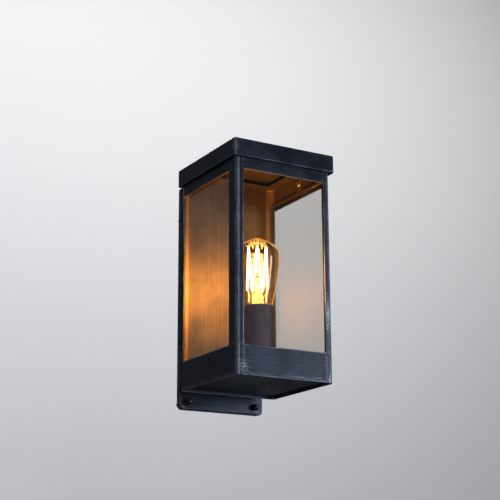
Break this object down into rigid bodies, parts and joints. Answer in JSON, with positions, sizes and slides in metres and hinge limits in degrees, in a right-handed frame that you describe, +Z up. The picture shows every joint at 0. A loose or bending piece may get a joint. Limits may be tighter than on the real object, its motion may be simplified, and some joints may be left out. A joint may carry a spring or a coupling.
{
  "type": "outdoor wall lantern",
  "caption": "Box-shaped outdoor wall lantern with glazed sides, an overhanging flat lid, a glowing filament bulb in a tall socket cup and a wall plate behind.",
  "frame": {"origin": "on the wall plane, midway between the two lower ball-headed wall screws, at the back of the wall gasket", "axes": "+Z up, +Y into the wall so the lantern stands out towards -Y, +X to the viewer's right when facing the lantern"},
  "size_m": [0.168, 0.226, 0.3582],
  "materials": {
    "frame_finish": "hand-rubbed dark blue-grey lacquer, silver at the edges",
    "ball_screw_metal": "dark lacquered steel",
    "zinc": "zinc plated",
    "channel_metal": "satin",
    "earth_brass": "plain",
    "black_rubber": "matt",
    "seal": "matt foam",
    "terminal_body": "moulded",
    "wire_brown": "sleeved flex core",
    "wire_blue": "sleeved flex core",
    "clear_glass": "clear float",
    "holder_metal": "matt dark bronze",
    "holder_steel": "plain",
    "ceramic": "white glazed ceramic",
    "socket_brass": "bright",
    "amber_glass": "amber tint",
    "stem_glass": "clear",
    "cap_brass": "bright rolled",
    "insulator_black": "black glass",
    "contact_tin": "tinned",
    "filament_wire": "fine drawn wire",
    "support_wire": "fine drawn wire"
  },
  "bodies": {
    "base": {"body_shell": "frame_finish", "floor_pan": "frame_finish", "wall_plate": "frame_finish", "mounting_neck": "frame_finish", "ball_screws": "ball_screw_metal", "foot_rivets": "ball_screw_metal", "keyhole_screws": "zinc", "neck_studs": "zinc", "neck_washers": "zinc", "neck_nuts": "zinc", "channel_screws": "zinc", "terminal_fixing_screw": "zinc", "glass_channel_top_front": "channel_metal", "glass_channel_top_left": "channel_metal", "glass_channel_top_right": "channel_metal", "glass_channel_bottom_front": "channel_metal", "glass_channel_bottom_left": "channel_metal", "glass_channel_bottom_right": "channel_metal", "earth_screw": "earth_brass", "terminal_screws": "earth_brass", "wall_gasket": "black_rubber", "cable_grommet": "black_rubber", "body_grommet": "black_rubber", "lid_buffers": "black_rubber", "cup_bush": "black_rubber", "glazing_tape_front": "seal", "glazing_tape_left": "seal", "glazing_tape_right": "seal", "pane_strip": "seal", "terminal_block": "terminal_body", "wire_live": "wire_brown", "wire_neutral": "wire_blue", "glass_front": "clear_glass", "glass_left": "clear_glass", "glass_right": "clear_glass", "holder_foot": "holder_metal", "socket_cup": "holder_metal", "holder_nipple": "holder_steel", "nut_below_cup": "holder_steel", "nut_in_cup": "holder_steel", "socket_insert": "ceramic", "socket_sleeve": "socket_brass", "socket_contact": "socket_brass", "socket_terminals": "socket_brass"},
    "lid": {"lid": "frame_finish", "lid_guides": "channel_metal"},
    "bulb": {"bulb_glass": "amber_glass", "bulb_cap": "cap_brass", "bulb_insulator": "insulator_black", "bulb_contact": "contact_tin", "bulb_stem": "stem_glass", "bulb_filament": "filament_wire", "bulb_supports": "support_wire"}
  },
  "joints": [
    {"name": "lid_lift", "type": "slide", "parent": "base", "child": "lid", "axis": [0, 0, 1], "range_m": [0, 0.045]},
    {"name": "bulb_lift", "type": "slide", "parent": "base", "child": "bulb", "axis": [0, 0, 1], "range_m": [0, 0.045]}
  ]
}
